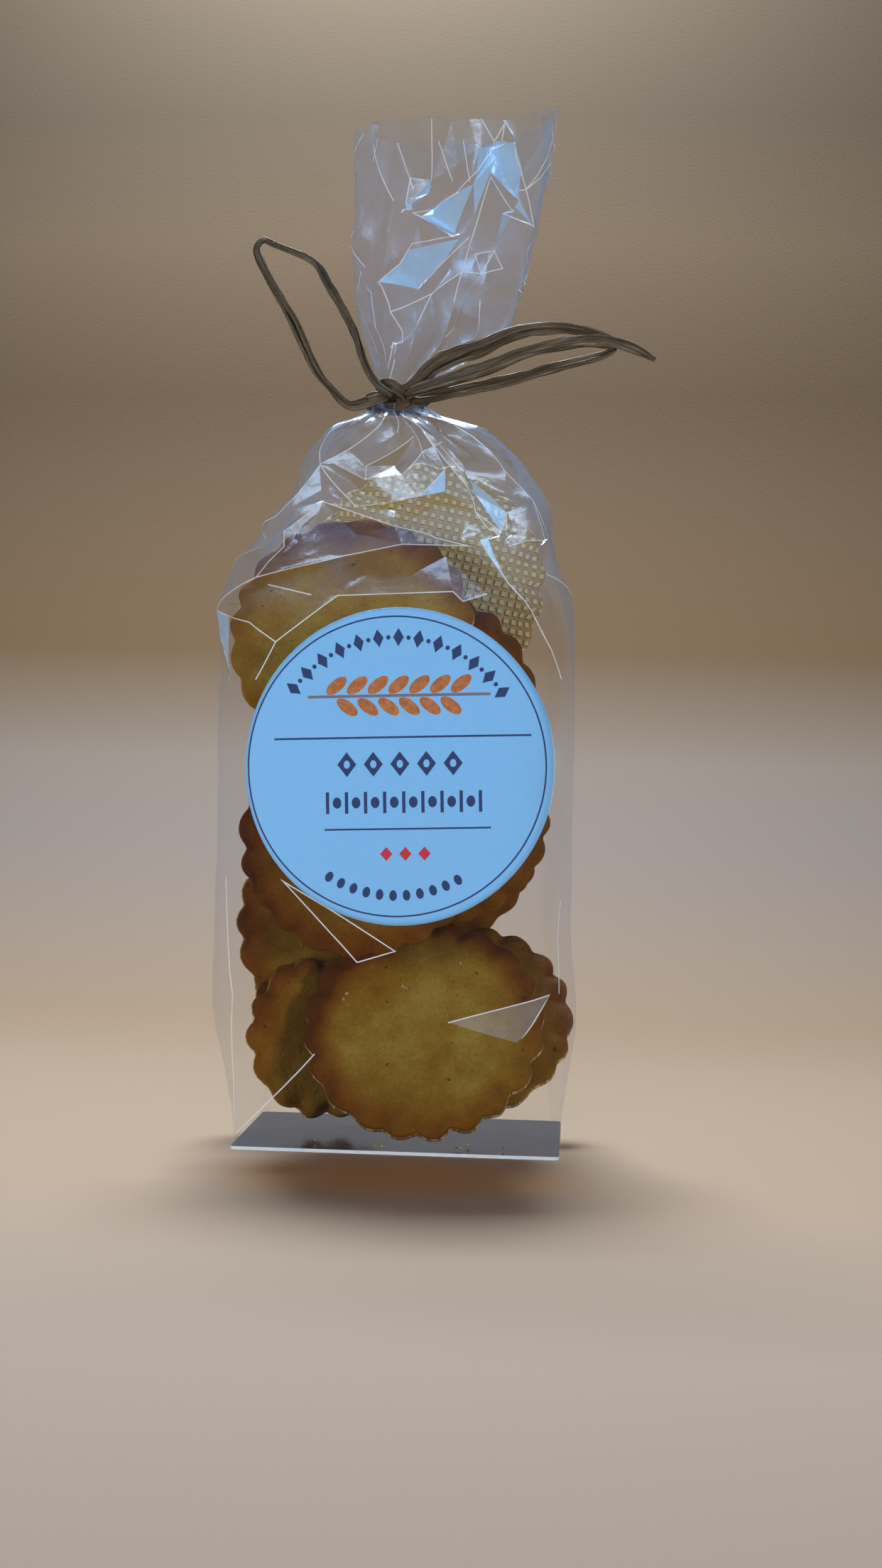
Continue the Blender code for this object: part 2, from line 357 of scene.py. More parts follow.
# Biscuits
# Rounds of butter dough stamped with a fluted cutter and baked on a perforated mat: pale and smooth on
# top, browned at the rim, with the mat's fine grid underneath. They lie loose in the bag, some broken.
cutter_radius = 31.0 * MM
small_radius = 27.5 * MM
scrap_radius = 21.0 * MM
full_thickness = 6.4 * MM
thin_thickness = 5.2 * MM
flute_pitch = 9.6 * MM
flute_depth = 1.9 * MM
flute_dip = 1.0 * MM
flute_softness = 0.03
mat_pitch = 2.2 * MM
steps_per_flute = 9
rim_squareness = 4.2
rim_steps = 16
rim_ridge = 0.35 * MM
rim_ridge_reach = 0.82
rim_ridge_width = 0.12
dish_depth = 0.45 * MM
swell_height = 0.40 * MM
fine_swell_height = 0.10 * MM
warp_height = 0.5 * MM
break_roughness = 0.9 * MM
merge_distance = 1e-6


def smooth_step(value, low, high):
    """0 below low, 1 above high, and a smooth rise between them."""
    part = min(max((value - low) / (high - low), 0.0), 1.0)
    return part * part * (3.0 - 2.0 * part)


def rim_profile():
    """Half a biscuit's cut section, from the middle of its top round the rim to the middle below."""
    upper = [(share, 1.0) for share in (0.0, 0.10, 0.20, 0.30, 0.40, 0.50, 0.58)]
    for step in range(1, rim_steps + 1):
        turn = math.radians(90.0 * step / rim_steps)
        reach = math.sin(turn) ** (2.0 / rim_squareness)
        height = max(math.cos(turn), 0.0) ** (2.0 / rim_squareness)
        if reach > 0.62:
            upper.append((reach, height if step < rim_steps else 0.0))
    lower = [(reach, -height) for reach, height in reversed(upper[:-1])]
    return upper + lower


def break_off(bm, bearing, distance, draw):
    """Take away what lies past a cut across the disc, and close the cut with a crumbly face."""
    away = Vector((math.cos(bearing), math.sin(bearing), 0.0))
    cut = bmesh.ops.bisect_plane(bm, geom=list(bm.verts) + list(bm.edges) + list(bm.faces),
                                 plane_co=away * distance, plane_no=away, clear_outer=True)["geom_cut"]
    edges = [item for item in cut if isinstance(item, bmesh.types.BMEdge)]
    for vert in {vert for edge in edges for vert in edge.verts}:
        vert.co += away * noise.noise(vert.co * 400.0 + Vector((draw.random(), 0, 0))) * break_roughness
    face = bmesh.ops.contextual_create(bm, geom=edges)["faces"]
    bmesh.ops.triangulate(bm, faces=face)
    bmesh.ops.recalc_face_normals(bm, faces=bm.faces)


def make_biscuit(name, centre, turn, lift, spin, seed, bake=0.3, rim_bake=0.5, brown_side=0.0,
                 underside_out=False, radius=cutter_radius, thickness=full_thickness, broken=None):
    """
    One biscuit whose shown face looks to turn and lift (degrees right and up from straight ahead).
    It is baked most at its rim on the brown side (degrees). A broken one ends at a cut, given by its
    bearing (degrees) and its distance from the middle (mm).
    """
    draw = random.Random(seed)
    offset = Vector((draw.uniform(0, 9), draw.uniform(0, 9), draw.uniform(0, 9)))
    size = radius * draw.uniform(0.985, 1.01)
    half = thickness / 2.0 * draw.uniform(0.96, 1.04)
    flutes = round(math.tau * size / flute_pitch)
    bm = bmesh.new()
    disc_layer = bm.verts.layers.float_vector.new("disc")
    grain = bm.verts.layers.float_vector.new("grain")
    brown = bm.verts.layers.float.new("brown")
    rim = [bm.verts.new((reach * size, 0.0, height * half)) for reach, height in rim_profile()]
    edges = [bm.edges.new(pair) for pair in zip(rim, rim[1:])]
    bmesh.ops.spin(bm, geom=rim + edges, cent=(0, 0, 0), axis=(0, 0, 1), angle=math.tau,
                   steps=flutes * steps_per_flute, use_merge=True)
    bmesh.ops.remove_doubles(bm, verts=bm.verts, dist=merge_distance)
    bmesh.ops.recalc_face_normals(bm, faces=bm.faces)
    for vert in bm.verts:
        x, y, z = vert.co
        reach = math.hypot(x, y) / size
        angle = math.atan2(y, x)
        upper = z > 0.0
        around = Vector((math.cos(angle), math.sin(angle), 0.0))
        across = Vector((x, y, 0.0))
        curl = noise.noise(around * 1.6 + offset * 2.0) * 0.10
        wave = math.cos(flutes * (angle + curl) / 2.0) ** 2
        notch = 1.0 - math.sqrt((wave + flute_softness) / (1.0 + flute_softness))
        notch *= 1.0 + 0.6 * noise.noise(around * 4.0 + offset * 2.0)
        wander = noise.noise(around * 1.3 + offset) * 0.014 + noise.noise(around * 5.0 + offset) * 0.007
        near_rim = smooth_step(reach, 0.70, 0.96)
        shrink = 1.0 + (wander - notch * flute_depth / size) * near_rim
        swell = noise.noise(across * 60.0 + offset) * swell_height
        swell += noise.noise(across * 240.0 + offset) * fine_swell_height
        ridge = rim_ridge * math.exp(-((reach - rim_ridge_reach) / rim_ridge_width) ** 2)
        dish = dish_depth * (1.0 - reach ** 2)
        z += (swell + ridge - dish) * (1.0 - smooth_step(reach, 0.92, 1.0)) * (1.0 if upper else 0.3)
        dip = notch * flute_dip * near_rim * (1.0 - smooth_step(reach, 0.94, 1.0))
        z -= dip * (1.0 if upper else -0.5)
        z += warp_height * math.cos(2.0 * angle + offset.x) * reach ** 2
        vert.co = Vector((x * shrink, y * shrink, z))
        vert[disc_layer] = Vector((x, y, 1.0 if upper else -1.0))
        vert[grain] = vert.co + offset
        patch = 0.5 + 0.5 * noise.noise(around * 1.4 + offset * 3.0)
        side = (0.5 + 0.5 * math.cos(angle + math.radians(spin - brown_side))) ** 1.5
        edge_bake = smooth_step(reach + 0.06 * noise.noise(across * 90.0 + offset), 0.66, 0.97)
        broad = smooth_step(reach + 0.10 * noise.noise(across * 50.0 + offset), 0.25, 1.0)
        vert[brown] = (bake + rim_bake * edge_bake * (0.30 + 0.55 * side + 0.30 * patch)
                       + 0.35 * broad * side * rim_bake + 0.16 * noise.noise(across * 38.0 + offset))
    if broken:
        break_off(bm, math.radians(broken[0] - spin), broken[1] * MM, draw)
    turned = Matrix.Rotation(math.radians(turn), 4, "Z")
    facing = turned @ Matrix.Rotation(math.radians(90.0 - lift), 4, "X")
    flip = Matrix.Rotation(math.pi, 4, "X") if underside_out else Matrix.Identity(4)
    spun = Matrix.Rotation(math.radians(spin), 4, "Z")
    place = Matrix.Translation(Vector(centre) * MM) @ facing @ flip @ spun
    bmesh.ops.transform(bm, matrix=place, verts=bm.verts)
    piece = make_piece(bm, name, biscuit_finish)
    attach(piece, "root")
    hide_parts("bag")


dough = Finish("baked_dough")
disc = dough.attribute("disc", "Vector")
grain_place = dough.attribute("grain", "Vector")
brownness = dough.attribute("brown")
disc_x = dough.axis(disc, 0)
disc_y = dough.axis(disc, 1)
disc_side = dough.axis(disc, 2)
underside = dough.step(disc_side * -1.0, -0.1, 0.1)
fine = dough.noise(grain_place, 900.0, 5.0, 0.65)
mottle = dough.noise(grain_place, 150.0, 4.0, 0.55)
clouds = dough.noise(grain_place, 48.0, 3.0, 0.5)
pores = dough.node("TexVoronoi", {}, {"Vector": grain_place, "Scale": 1000.0}, "Distance")
wave_x = (disc_x * (math.tau / mat_pitch)).math("COSINE") * 0.5 + 0.5
wave_y = (disc_y * (math.tau / mat_pitch)).math("COSINE") * 0.5 + 0.5
mat_square = dough.step(wave_x, 0.10, 0.55) * dough.step(wave_y, 0.10, 0.55)
mat_print = underside * mat_square
mat_groove = underside * (1.0 - mat_square)
tone = brownness + (clouds - 0.5) * 0.7 + (mottle - 0.5) * 0.55 + (fine - 0.5) * 0.35
tone = tone + mat_groove * 0.05 - mat_print * 0.20
dough_colour = dough.ramp(tone, [
    (0.0, srgb(152, 122, 50)), (0.25, srgb(132, 96, 26)), (0.5, srgb(117, 74, 11)),
    (0.75, srgb(103, 56, 5)), (1.0, srgb(78, 40, 3))])
paler = mat_print * 0.45 + underside * 0.30
dough_colour = dough.mix(paler, dough_colour, rgba(216, 196, 146))
specks = dough.step(dough.noise(grain_place, 520.0, 1.0), 0.735, 0.765)
dough_colour = dough.mix(specks * 0.75, dough_colour, rgba(44, 26, 14))
dough_height = fine * 0.35 + mottle * 0.3 + dough.step(pores, 0.0, 0.35) * 0.35 + mat_print * 1.1
biscuit_finish = dough.principled({
    "Base Color": dough_colour, "Roughness": 0.62 + fine * 0.2, "Specular IOR Level": 0.12,
    "Normal": dough.bump(dough_height, 0.0005, 0.9)})

make_biscuit("biscuit_front", (5.2, -4.4, 28.6), 0, 34, 8, 1, 0.13, 0.85, 128)
make_biscuit("biscuit_behind_front", (15.6, 7.0, 29.5), 0, 34, 80, 2, 0.18, 0.4, 60, radius=small_radius)
make_biscuit("biscuit_left_low", (-21.0, 5.5, 23.8), 22, 14, 50, 3, 0.26, 0.4, 90,
             radius=scrap_radius, thickness=thin_thickness, broken=(10, 12.0))
make_biscuit("biscuit_left_behind", (-20.5, 12.5, 29.6), 22, 14, 10, 4, 0.34, 0.45, 150,
             radius=scrap_radius, thickness=thin_thickness, broken=(10, 12.0))
make_biscuit("biscuit_left_back", (-16.4, 17.5, 52.0), 20, 2, 35, 5, 0.34, 0.4, 150,
             radius=30.5 * MM, broken=(0, 12.0))
make_biscuit("biscuit_label_left", (-11.0, -12.0, 76.0), 2, -6, 30, 6, 0.32, 0.5, 200)
make_biscuit("biscuit_label_right", (8.8, 5.4, 80.0), 4, -14, 0, 7, 0.20, 0.3, 320, radius=small_radius)
make_biscuit("biscuit_top_left", (-14.2, -13.0, 126.5), -2, 15, 15, 8, 0.14, 0.50, 75)
make_biscuit("biscuit_label_top", (1.5, 6.2, 109.0), 4, -14, 70, 9, 0.22, 0.4, 60)
make_biscuit("biscuit_top_back", (2.6, 6.5, 141.5), 4, -8, 12, 11, 0.02, 0.3, 40, underside_out=True)
make_biscuit("biscuit_rear_right", (3.5, 23.4, 76.5), 182, 2, 25, 13, 0.30, 0.45, 45,
             underside_out=True, radius=29.5 * MM, thickness=thin_thickness)
make_biscuit("biscuit_rear_left", (-14.0, 17.4, 102.0), -3, -2, 40, 12, 0.30, 0.4, 0,
             radius=small_radius, thickness=thin_thickness)
make_biscuit("biscuit_rear_high", (-4.0, 21.6, 130.0), 178, 8, 60, 14, 0.30, 0.5, 300, radius=27.0 * MM)


# Crumbs
# Crumbs of the biscuits that cling to the front one's face and lie on the silver card, in small clusters:
# x and z on the face, or x and y on the card, in mm, and how many.
crumb_dough = Finish("crumb_dough")
crumb_tone = crumb_dough.noise(crumb_dough.place(), 1500.0, 3.0)
crumb_finish = crumb_dough.principled({
    "Base Color": crumb_dough.ramp(crumb_tone, [(0.35, srgb(116, 82, 36)), (0.6, srgb(184, 156, 104))]),
    "Roughness": 0.7})
face_clusters = [
    (0.2, 38.5, 5), (-14.7, 35.6, 4), (-14.2, 33.8, 1), (-33.6, 10.0, 1), (13.0, 44.6, 1), (11.8, 32.4, 1)]
card_clusters = [(15.6, -21.4, 3), (-3.4, -21.3, 2), (17.0, -17.0, 1), (27.0, -20.0, 1), (-20.0, -17.0, 1)]
in_front_of_all = -0.1
card_level = 1.6
biscuit_fronts = bmesh.new()
for ob in bpy.data.objects:
    if ob.name.startswith("biscuit_"):
        biscuit_fronts.from_mesh(ob.data)
fronts_tree = BVHTree.FromBMesh(biscuit_fronts)
biscuit_fronts.free()

bm = bmesh.new()
draw = random.Random(7)
spots = []
for x, z, count in face_clusters:
    for _ in range(count):
        start_x = (x + draw.uniform(-0.9, 0.9)) * MM
        start = Vector((start_x, in_front_of_all, (z + draw.uniform(-0.9, 0.9)) * MM))
        hit = fronts_tree.ray_cast(start, Vector((0.0, 1.0, 0.0)))[0]
        if hit:
            spots.append(hit)
for x, y, count in card_clusters:
    for _ in range(count):
        spots.append(Vector((x + draw.uniform(-1.6, 1.6), y + draw.uniform(-1.0, 1.0), card_level)) * MM)
for spot in spots:
    size = draw.uniform(0.22, 0.48) * MM
    lump = bmesh.ops.create_icosphere(bm, subdivisions=2, radius=size)["verts"]
    for vert in lump:
        vert.co *= 1.0 + 0.7 * noise.noise(vert.co * 2600.0 + spot * 900.0)
        vert.co += spot
crumbs = make_piece(bm, "crumbs", crumb_finish)
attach(crumbs, "root")
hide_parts("bag")


# Film
# One sheet of clear film folded into a block-bottom bag, stiff and crackly: it creases in straight
# lines between flat facets, is gathered at the neck and fans out above it. It is thin, so it is one
# surface here. It follows the bag's solid, read along rays from the bag's own middle line.
solid = bmesh.new()
solid.from_mesh(frame["nodes"]["bag"].data)
bmesh.ops.remove_doubles(solid, verts=solid.verts, dist=merge_distance)
solid_tree = BVHTree.FromBMesh(solid)
solid.free()
foot_height = 1.3 * MM
mouth_height = 256.5 * MM
shoulder_height = 133.0 * MM
flap_rise = 4.5 * MM
back_turn = 0.25
front_start = 0.25
front_end = 0.75
body_top = 0.15
body_aspect = 0.62
neck_aspect = 0.5
label_middle = Vector((-1.0 * MM, 94.0 * MM))
label_radius = 38.2 * MM


def side_hit(height, direction):
    """Where the bag's solid is met from outside along x at a height, on the middle plane."""
    start = Vector((direction * 0.3, 0.0, height))
    return solid_tree.ray_cast(start, Vector((-direction, 0.0, 0.0)))[0].x


def bag_point(turn, height):
    """A point of the bag's surface and the way out of it, at a share of a turn from the back seam."""
    level = min(max(height, foot_height), mouth_height - 0.3 * MM)
    middle = Vector(((side_hit(level, 1.0) + side_hit(level, -1.0)) / 2.0, 0.0, level))
    angle = (turn + back_turn) * math.tau
    aspect = body_aspect if level < body_top else neck_aspect
    outward = Vector((math.cos(angle), math.sin(angle) * aspect, 0.0)).normalized()
    point = solid_tree.ray_cast(middle, outward)[0].copy()
    flap = smooth_step(point.x, 0.022, 0.036) * smooth_step(height, 0.240, mouth_height)
    point.z = height + flap_rise * flap
    return point, outward


def front_turn(x, height):
    """The share of a turn at which the bag's front reaches x at a height."""
    low, high = front_start, front_end
    for _ in range(24):
        middle = (low + high) / 2.0
        if bag_point(middle, height)[0].x < x:
            low = middle
        else:
            high = middle
    return (low + high) / 2.0


def facet_spacing(height):
    """How wide (share of a turn) and how tall (metres) the film's facets are at a height."""
    if height > 0.200:
        return 0.060, 0.016
    if height > 0.176:
        return 0.040, 0.006
    if height > shoulder_height:
        return 0.034, 0.009
    return 0.085, 0.026


# The folds that show on the front: how far each stands out (mm), whether it shines as a line of whitened
# film with a painted glint, and its corners from end to end (x and z in mm), from the foot up to the fan
# above the neck.
front_folds = [
    (0.5, False, [(-19.4, 24.1), (30.4, 25.1)]),
    (0.6, True, [(12.7, 32.8), (36.9, 39.8), (29.3, 28.3)]),
    (0.1, False, [(12.7, 32.8), (29.3, 28.3)]),
    (0.4, True, [(-38.9, 3.5), (-19.4, 24.1)]),
    (0.4, False, [(38.2, 3.5), (30.4, 25.1)]),
    (0.5, True, [(-42.4, 66.0), (-40.0, 37.5), (-38.9, 3.5)]),
    (0.5, True, [(39.0, 62.0), (39.0, 40.0)]),
    (0.8, True, [(-27.4, 65.7), (-9.3, 46.7), (-0.3, 49.6), (-27.4, 65.7)]),
    (0.5, True, [(-30.8, 123.5), (-15.9, 134.9), (11.7, 136.3), (14.2, 133.9)]),
    (0.6, True, [(-47.0, 132.0), (-37.6, 128.3), (-30.8, 123.5), (-35.6, 114.4)]),
    (0.8, True, [(-47.0, 132.0), (-45.0, 124.0), (-42.4, 114.3)]),
    (0.7, True, [(-36.3, 139.4), (-14.9, 144.8), (-1.1, 147.9), (14.8, 147.7)]),
    (0.7, True, [(-36.3, 139.4), (-20.8, 158.7), (-3.3, 152.6), (14.8, 147.7)]),
    (0.5, True, [(-36.3, 139.4), (-47.0, 132.0)]),
    (0.8, True, [(-22.3, 168.7), (-32.5, 155.3), (-39.8, 150.8), (-42.5, 144.0), (-47.0, 132.0)]),
    (0.7, True, [(-14.0, 182.0), (-21.0, 178.0), (-22.3, 168.7), (-15.5, 172.6), (-7.5, 182.0)]),
    (0.4, True, [(-22.3, 168.7), (-13.0, 157.5), (-5.1, 158.5)]),
    (0.6, True, [(-18.7, 168.8), (-10.9, 164.6), (-11.0, 168.2), (0.1, 176.3)]),
    (0.5, True, [(7.2, 174.8), (2.6, 172.0), (-2.0, 165.8)]),
    (0.7, True, [(-4.0, 183.0), (1.8, 178.6), (8.2, 167.4), (2.2, 160.1)]),
    (0.8, True, [(1.8, 178.6), (13.2, 163.6), (16.2, 156.4), (17.6, 149.2), (24.5, 138.6), (32.6, 127.7)]),
    (0.7, True, [(13.2, 163.6), (23.6, 156.5), (22.5, 151.6), (16.2, 156.4)]),
    (0.9, True, [(7.5, 181.0), (14.2, 176.9), (22.8, 167.2), (29.7, 160.2), (33.0, 150.0)]),
    (0.4, True, [(32.6, 127.7), (38.0, 116.0)]),
    (0.6, True, [(20.9, 255.2), (17.4, 241.6), (13.5, 227.5), (10.9, 218.1), (9.0, 210.6)]),
    (0.6, True, [(36.0, 255.0), (26.3, 239.4), (18.7, 223.9), (15.6, 218.0), (7.1, 202.2)]),
    (0.6, True, [(-6.6, 208.5), (3.6, 212.9), (10.9, 218.1)]),
    (0.6, True, [(-7.2, 194.5), (-6.0, 201.0), (-0.4, 204.4), (3.6, 212.9)]),
    (0.7, True, [(10.9, 218.1), (15.6, 218.0), (20.7, 219.7), (18.7, 223.9), (13.9, 222.6), (15.6, 218.0)]),
    (0.5, True, [(-15.6, 211.4), (-14.7, 219.5), (-11.6, 213.5), (-10.4, 204.7), (-7.7, 194.5)]),
    (0.6, True, [(-9.5, 215.9), (-6.6, 208.5), (-6.4, 199.6)]),
    (0.8, True, [(-1.5, 232.8), (10.3, 227.2), (-1.3, 225.3), (-9.5, 215.9)]),
    (0.4, True, [(-1.5, 232.8), (9.6, 237.7), (19.4, 249.5)]),
    (0.7, True, [(0.3, 214.2), (6.2, 220.4), (12.6, 226.6)]),
    (0.4, True, [(-4.3, 233.2), (-3.4, 235.1), (3.0, 239.4)]),
    (0.5, False, [(4.2, 206.4), (12.9, 212.6), (17.9, 215.6)]),
    (0.7, True, [(23.5, 250.3), (26.3, 239.4), (28.4, 230.6), (23.2, 233.8), (17.4, 241.6)]),
    (0.4, True, [(-12.0, 251.0), (-6.5, 236.0)]),
]
# Facets with a painted sheen where the film would mirror a lamp, as three corners each: a dull painted veil
# low down, bright painted glints above.
painted_veil_facets = [[(12.7, 32.8), (36.9, 39.8), (29.3, 28.3)]]
painted_glint_facets = [
    [(-47.0, 132.0), (-44.6, 130.6), (-42.8, 116.0)],
    [(-36.3, 139.4), (-20.8, 158.7), (-22.5, 154.0)],
    [(2.2, 160.1), (8.2, 167.4), (8.6, 161.5)],
    [(14.2, 165.0), (23.6, 156.5), (22.5, 151.6)],
    [(17.6, 149.2), (19.6, 149.8), (24.5, 138.6)],
    [(-1.3, 232.7), (13.5, 239.7), (9.8, 227.2)],
    [(13.5, 239.7), (14.4, 248.5), (19.3, 249.9)],
    [(13.5, 239.7), (19.3, 249.9), (13.7, 232.0)],
    [(-9.8, 216.0), (-2.2, 223.9), (0.1, 214.1)],
    [(-2.2, 223.9), (10.2, 226.2), (0.1, 214.1)],
    [(18.4, 250.4), (23.6, 250.8), (27.9, 231.0)],
    [(18.4, 250.4), (27.9, 231.0), (18.1, 242.4)],
    [(-4.5, 233.6), (3.1, 241.0), (0.6, 236.8)],
]
facet_lift = 0.5
for facet in painted_veil_facets + painted_glint_facets:
    front_folds.append((facet_lift, False, facet + facet[:1]))
round_way = 0.26
facet_tries = 9000
rim_clearance = 0.4
rim_parts = 46
seam_parts = 26
stretch = 4.0
on_edge = 1e-6
same_spot = 1e-5
film_inset = 0.30 * MM
film_merge_distance = 0.15 * MM
fold_half_width = 0.14 * MM
hem_spread = 1.004
hem_height = 0.15 * MM

draw = random.Random(41)
fold_spots = []
fold_edges = []
lifts = {}
for lift, shines, corners in front_folds:
    ends = []
    for x, z in corners:
        spot = (round(front_turn(x * MM, z * MM), 6), round(z * MM, 6))
        lifts[spot] = max(lift * MM, lifts.get(spot, 0.0))
        if spot not in fold_spots:
            fold_spots.append(spot)
        ends.append(fold_spots.index(spot))
    fold_edges.extend((first, second, shines) for first, second in zip(ends, ends[1:]))
unrolled = [Vector((turn * round_way, height)) for turn, height in fold_spots]


def near_fold(turn, height, reach):
    """Whether a place on the unrolled film lies within reach of one of the folds."""
    spot = Vector((turn * round_way, height))
    for first, second, _ in fold_edges:
        start, end = unrolled[first], unrolled[second]
        share = min(max((spot - start).dot(end - start) / (end - start).length_squared, 0.0), 1.0)
        if (start.lerp(end, share) - spot).length < reach:
            return True
    return False


spots = []
for _ in range(facet_tries):
    turn = draw.random()
    height = foot_height + draw.random() * (mouth_height - foot_height)
    across, up = facet_spacing(height)
    if not rim_clearance * across < turn < 1.0 - rim_clearance * across:
        continue
    if min(height - foot_height, mouth_height - height) < rim_clearance * up:
        continue
    if any(((turn - t) / across) ** 2 + ((height - h) / up) ** 2 <= 1.0 for t, h in spots):
        continue
    if not near_fold(turn, height, 4.0 * MM if height < shoulder_height else 2.2 * MM):
        spots.append((turn, height))
for part in range(rim_parts + 1):
    spots.append((part / rim_parts, foot_height))
    spots.append((part / rim_parts, mouth_height))
for part in range(1, seam_parts):
    height = foot_height + (mouth_height - foot_height) * part / seam_parts
    spots.extend([(0.0, height), (1.0, height)])
flat = [Vector((turn, height * stretch)) for turn, height in fold_spots + spots]
folds = [(first, second) for first, second, _ in fold_edges]
placed, edges, faces, _, edge_sources, _ = geometry.delaunay_2d_cdt(flat, folds, [], 0, 1e-7)

bm = bmesh.new()
lift_of = bm.verts.layers.float.new("lift")
corners = []
for spot in placed:
    turn, height = spot.x, spot.y / stretch
    corner = bm.verts.new((turn, height, 0.0))
    at_label = (Vector((bag_point(turn, height)[0].x, height)) - label_middle).length < label_radius + 4 * MM
    pinned = min(turn, 1.0 - turn) < on_edge or height < foot_height + on_edge
    liveliness = 0.30 + 1.9 * smooth_step(height, 0.125, 0.145)
    if height > 0.180:
        liveliness = 0.35 + 1.7 * smooth_step(height, 0.190, 0.203)
    named = [out for (t, h), out in lifts.items() if max(abs(t - turn), abs(h - height)) < same_spot]
    if named:
        corner[lift_of] = named[0]
    elif pinned or (at_label and 0.3 < turn < 0.7):
        corner[lift_of] = 0.0
    else:
        corner[lift_of] = draw.uniform(-1.0, 0.5) * liveliness * 1.25 * MM
    corners.append(corner)
for face in faces:
    made = bm.faces.new([corners[index] for index in face])
    middle = made.calc_center_median()
    place = Vector((bag_point(middle.x, middle.y)[0].x, middle.y)) / MM
    # Faces inside the listed facets take the painted veil or the painted glint finish.
    for number, facets in ((2, painted_veil_facets), (3, painted_glint_facets)):
        for facet in facets:
            inside = geometry.intersect_point_tri_2d(place, *[Vector(point) for point in facet])
            if front_start < middle.x < front_end and inside:
                made.material_index = number
for (first, second), sources in zip(edges, edge_sources):
    edge = bm.edges.get((corners[first], corners[second]))
    if sources:
        edge.smooth = False
        edge.seam = any(fold_edges[source][2] for source in sources)
for edge in bm.edges:
    turn, height, _ = (edge.verts[0].co + edge.verts[1].co) / 2.0
    if edge.is_boundary:
        edge.smooth = height < foot_height + on_edge or height > mouth_height - on_edge
        edge.seam = height > mouth_height - on_edge
    elif edge.smooth and height > shoulder_height:
        chance = draw.random()
        edge.smooth = chance > 0.60
        edge.seam = chance < 0.05
bmesh.ops.subdivide_edges(bm, edges=bm.edges, cuts=4, use_grid_fill=True)
for vert in bm.verts:
    turn, height, _ = vert.co
    point, outward = bag_point(turn, height)
    ripple = noise.noise(point * 70.0) * 0.30 * MM
    ripple += noise.noise(point * 190.0) * 0.07 * MM
    vert.co = point + outward * (vert[lift_of] + ripple - film_inset)
bmesh.ops.remove_doubles(bm, verts=bm.verts, dist=film_merge_distance)
loose = [vert for vert in bm.verts if not vert.is_boundary and all(edge.smooth for edge in vert.link_edges)]
for _ in range(3):
    bmesh.ops.smooth_vert(bm, verts=loose, factor=0.5, use_axis_x=True, use_axis_y=True, use_axis_z=True)
hem = [edge for edge in bm.edges if edge.is_boundary and edge.verts[0].co.z < 0.01]
for item in bmesh.ops.extrude_edge_only(bm, edges=hem)["geom"]:
    if isinstance(item, bmesh.types.BMVert):
        item.co = Vector((item.co.x * hem_spread, item.co.y * hem_spread, hem_height))
bmesh.ops.recalc_face_normals(bm, faces=bm.faces)
if sum(face.normal.dot(face.calc_center_median() - Vector((0, 0, 0.09))) for face in bm.faces) < 0.0:
    bmesh.ops.reverse_faces(bm, faces=bm.faces)
# The shining fold lines, and a few random creases above the shoulders, get a narrow bevel in the fold
# finish: whitened film with a painted glint.
fold_whitening_and_glint_lines = [edge for edge in bm.edges if edge.seam and not edge.is_boundary]
bmesh.ops.bevel(bm, geom=fold_whitening_and_glint_lines, offset=fold_half_width, offset_type="OFFSET", segments=1, profile=0.5,
                affect="EDGES", material=1, clamp_overlap=False)
bmesh.ops.triangulate(bm, faces=bm.faces)
for face in bm.faces:
    face.smooth = True
for edge in bm.edges:
    edge.seam = False


def film_finish(name, shares, gain, roughness, tint, crinkle, painted_glare=0.0):
    """Clear film that shines by one share over the body and another above it, and more at its edges."""
    finish = Finish(name)
    height = finish.axis(finish.place(), 2)
    normal = finish.bump(finish.noise(finish.place(), 180.0, 3.0), 0.0010, crinkle)
    fresnel = finish.node("Fresnel", {}, {"IOR": 1.5, "Normal": normal})
    shine = finish.node("BsdfGlossy", {}, {"Color": (*tint, 1.0), "Roughness": roughness, "Normal": normal})
    # Part of the shine can be a flat diffuse coat in the tint: a painted sheen that stands in for reflected
    # light.
    painted_sheen_coat = finish.node("BsdfDiffuse", {}, {"Color": (*tint, 1.0)})
    shine = finish.node("MixShader", {}, {0: painted_glare, 1: shine, 2: painted_sheen_coat})
    through = finish.node("BsdfTransparent", {}, {"Color": (0.98, 0.98, 0.98, 1.0)})
    share = finish.step(height, 0.118, 0.150) * (shares[1] - shares[0]) + shares[0]
    share = share * (0.35 + finish.noise(finish.place(), 75.0, 3.0, 0.6) * 1.3)
    edge_shine = (fresnel * gain).math("MINIMUM", 0.10)
    return finish.wear(finish.node("MixShader", {}, {0: edge_shine + share, 1: through, 2: shine}))


clear_film = film_finish("clear_film", (0.0, 0.11), 0.6, 0.20, (0.58, 0.76, 1.0), 0.25)
fold_whitening_and_glint_line = film_finish("film_fold", (0.90, 0.56), 1.0, 0.45, (0.94, 0.98, 1.0), 0.1, 0.7)
painted_veil_facet = film_finish("film_dull_facet", (0.20, 0.20), 1.0, 0.35, (0.86, 0.90, 0.96), 0.3, 0.4)
painted_glint_facet = film_finish("film_bright_facet", (0.50, 0.70), 1.0, 0.30, (0.46, 0.72, 1.0), 0.6, 0.6)
film = make_piece(bm, "film", clear_film, smooth=False)
for finish in (fold_whitening_and_glint_line, painted_veil_facet, painted_glint_facet):
    film.data.materials.append(finish)
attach(film, "root")
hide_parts("bag")
film.visible_shadow = False


